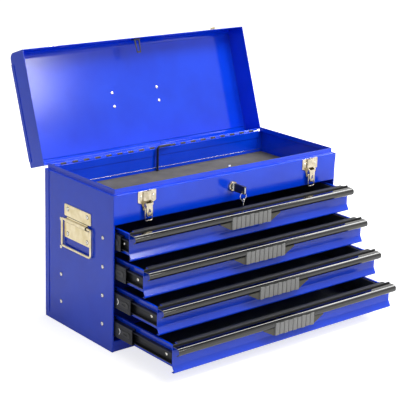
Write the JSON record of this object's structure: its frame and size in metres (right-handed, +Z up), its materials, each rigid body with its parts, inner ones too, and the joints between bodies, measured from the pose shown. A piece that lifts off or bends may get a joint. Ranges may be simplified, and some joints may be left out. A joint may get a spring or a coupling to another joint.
{
  "type": "portable tool box with drawers",
  "caption": "Portable steel tool box with a lift-up lid over a till, stepped ball-slide drawers, draw latches, a cylinder lock and folding handles.",
  "frame": {"origin": "centre of the case on the underside of its base", "axes": "+X to the right, the drawers open towards -Y, +Z up"},
  "size_m": [0.5338, 0.5006, 0.485],
  "materials": {
    "blue_coat": "gloss royal-blue powder coat",
    "plated_bright": "nickel plate",
    "plated_cream": "yellow-tinged zinc plate",
    "rivet_steel": "zinc-plated rivet heads",
    "slide_black": "black-coated slide steel",
    "pull_grey": "dark grey polished aluminium",
    "liner_black": "ribbed drawer mat",
    "liner_grey": "textured till mat",
    "grip_black": "moulded grip",
    "key_black": "moulded key head",
    "key_steel": "bright key steel",
    "bar_dark": "dark-coated rod",
    "spring_steel": "spring steel"
  },
  "bodies": {
    "case": {"side_panel_left": "blue_coat", "side_panel_right": "blue_coat", "back_panel": "blue_coat", "base_panel": "blue_coat", "front_apron": "blue_coat", "till_tray": "blue_coat", "till_liner": "liner_grey", "hinge_leaf_case": "blue_coat", "hinge_pin": "plated_bright", "case_rivets": "rivet_steel", "slide_cabinet_members": "slide_black", "slide_ball_cages": "plated_bright", "latch_bases": "plated_bright", "side_handle_plates": "plated_cream", "lock_housing": "plated_bright", "lock_bar_spring": "spring_steel"},
    "lid": {"lid_shell": "blue_coat", "lid_ends": "blue_coat", "hinge_leaf_lid": "blue_coat", "lid_keepers": "plated_bright", "lock_strike": "plated_bright", "lid_handle_brackets": "plated_bright", "lid_rivets": "rivet_steel"},
    "carry_handle": {"lid_handle_bail": "plated_bright", "lid_handle_grip": "grip_black"},
    "drawer_1": {"drawer_pan_1": "blue_coat", "drawer_front_1": "blue_coat", "drawer_pull_1": "pull_grey", "drawer_liner_1": "liner_black", "slide_drawer_members_1": "slide_black"},
    "slide_middle_1": {"slide_middle_members_1": "slide_black"},
    "drawer_2": {"drawer_pan_2": "blue_coat", "drawer_front_2": "blue_coat", "drawer_pull_2": "pull_grey", "drawer_liner_2": "liner_black", "slide_drawer_members_2": "slide_black"},
    "slide_middle_2": {"slide_middle_members_2": "slide_black"},
    "drawer_3": {"drawer_pan_3": "blue_coat", "drawer_front_3": "blue_coat", "drawer_pull_3": "pull_grey", "drawer_liner_3": "liner_black", "slide_drawer_members_3": "slide_black"},
    "slide_middle_3": {"slide_middle_members_3": "slide_black"},
    "drawer_4": {"drawer_pan_4": "blue_coat", "drawer_front_4": "blue_coat", "drawer_pull_4": "pull_grey", "drawer_liner_4": "liner_black", "slide_drawer_members_4": "slide_black"},
    "slide_middle_4": {"slide_middle_members_4": "slide_black"},
    "latch_lever_right": {"latch_lever_right": "plated_bright"},
    "latch_bail_right": {"latch_bail_right": "plated_bright"},
    "side_bail_right": {"side_bail_right": "plated_cream"},
    "latch_lever_left": {"latch_lever_left": "plated_bright"},
    "latch_bail_left": {"latch_bail_left": "plated_bright"},
    "side_bail_left": {"side_bail_left": "plated_cream"},
    "lock_plug": {"lock_plug": "plated_bright"},
    "key": {"key": "key_black"},
    "key_ring": {"key_ring": "key_steel"},
    "spare_key": {"spare_key": "key_steel"},
    "lock_bar": {"lock_bar": "bar_dark"}
  },
  "joints": [
    {"name": "lid_hinge", "type": "hinge", "parent": "case", "child": "lid", "pos_m": [0, 0.1077, 0.281], "axis": [1, 0, 0], "range_deg": [0, 109]},
    {"name": "carry_handle_pivot", "type": "hinge", "parent": "lid", "child": "carry_handle", "pos_m": [0, 0.19443, 0.3624], "axis": [1, 0, 0], "range_deg": [-19, 161]},
    {"name": "drawer_slide_1", "type": "slide", "parent": "case", "child": "drawer_1", "axis": [0, -1, 0], "range_m": [-0.04, 0.14]},
    {"name": "middle_slide_1", "type": "slide", "parent": "case", "child": "slide_middle_1", "axis": [0, -1, 0], "range_m": [-0.02, 0.07]},
    {"name": "drawer_slide_2", "type": "slide", "parent": "case", "child": "drawer_2", "axis": [0, -1, 0], "range_m": [-0.08, 0.1]},
    {"name": "middle_slide_2", "type": "slide", "parent": "case", "child": "slide_middle_2", "axis": [0, -1, 0], "range_m": [-0.04, 0.05]},
    {"name": "drawer_slide_3", "type": "slide", "parent": "case", "child": "drawer_3", "axis": [0, -1, 0], "range_m": [-0.119, 0.061]},
    {"name": "middle_slide_3", "type": "slide", "parent": "case", "child": "slide_middle_3", "axis": [0, -1, 0], "range_m": [-0.0595, 0.0305]},
    {"name": "drawer_slide_4", "type": "slide", "parent": "case", "child": "drawer_4", "axis": [0, -1, 0], "range_m": [-0.1605, 0.0195]},
    {"name": "middle_slide_4", "type": "slide", "parent": "case", "child": "slide_middle_4", "axis": [0, -1, 0], "range_m": [-0.08025, 0.00975]},
    {"name": "latch_lever_right_pivot", "type": "hinge", "parent": "case", "child": "latch_lever_right", "pos_m": [0.1905, -0.1114, 0.257], "axis": [-1, 0, 0], "range_deg": [0, 100]},
    {"name": "latch_bail_right_pivot", "type": "hinge", "parent": "latch_lever_right", "child": "latch_bail_right", "pos_m": [0.1905, -0.1114, 0.25], "axis": [-1, 0, 0], "range_deg": [0, 90]},
    {"name": "side_bail_right_pivot", "type": "hinge", "parent": "case", "child": "side_bail_right", "pos_m": [0.2632, 0, 0.204], "axis": [0, -1, 0], "range_deg": [0, 90]},
    {"name": "latch_lever_left_pivot", "type": "hinge", "parent": "case", "child": "latch_lever_left", "pos_m": [-0.1905, -0.1114, 0.257], "axis": [-1, 0, 0], "range_deg": [0, 100]},
    {"name": "latch_bail_left_pivot", "type": "hinge", "parent": "latch_lever_left", "child": "latch_bail_left", "pos_m": [-0.1905, -0.1114, 0.25], "axis": [-1, 0, 0], "range_deg": [0, 90]},
    {"name": "side_bail_left_pivot", "type": "hinge", "parent": "case", "child": "side_bail_left", "pos_m": [-0.2632, 0, 0.204], "axis": [0, 1, 0], "range_deg": [0, 90]},
    {"name": "lock_turn", "type": "hinge", "parent": "case", "child": "lock_plug", "pos_m": [0, -0.105, 0.2557], "axis": [0, 1, 0], "range_deg": [0, 90]},
    {"name": "key_draw", "type": "slide", "parent": "lock_plug", "child": "key", "axis": [0, -1, 0], "range_m": [0, 0.018]},
    {"name": "ring_swing", "type": "hinge", "parent": "key", "child": "key_ring", "pos_m": [0, -0.1356, 0.25135], "axis": [1, 0, 0], "range_deg": [-35, 35]},
    {"name": "spare_key_swing", "type": "hinge", "parent": "key_ring", "child": "spare_key", "pos_m": [0, -0.1356, 0.23735], "axis": [1, 0, 0], "range_deg": [-35, 35]},
    {"name": "lock_bar_drop", "type": "slide", "parent": "case", "child": "lock_bar", "axis": [0, 0, -1], "range_m": [0, 0.00605], "deforming": ["lock_bar_spring"]}
  ],
  "couplings": [
    {"joint": "middle_slide_1", "follows": "drawer_slide_1", "ratio": 0.5},
    {"joint": "middle_slide_2", "follows": "drawer_slide_2", "ratio": 0.5},
    {"joint": "middle_slide_3", "follows": "drawer_slide_3", "ratio": 0.5},
    {"joint": "middle_slide_4", "follows": "drawer_slide_4", "ratio": 0.5},
    {"joint": "lock_bar_drop", "follows": "lid_hinge", "m_per_rad": 0.0031539}
  ]
}
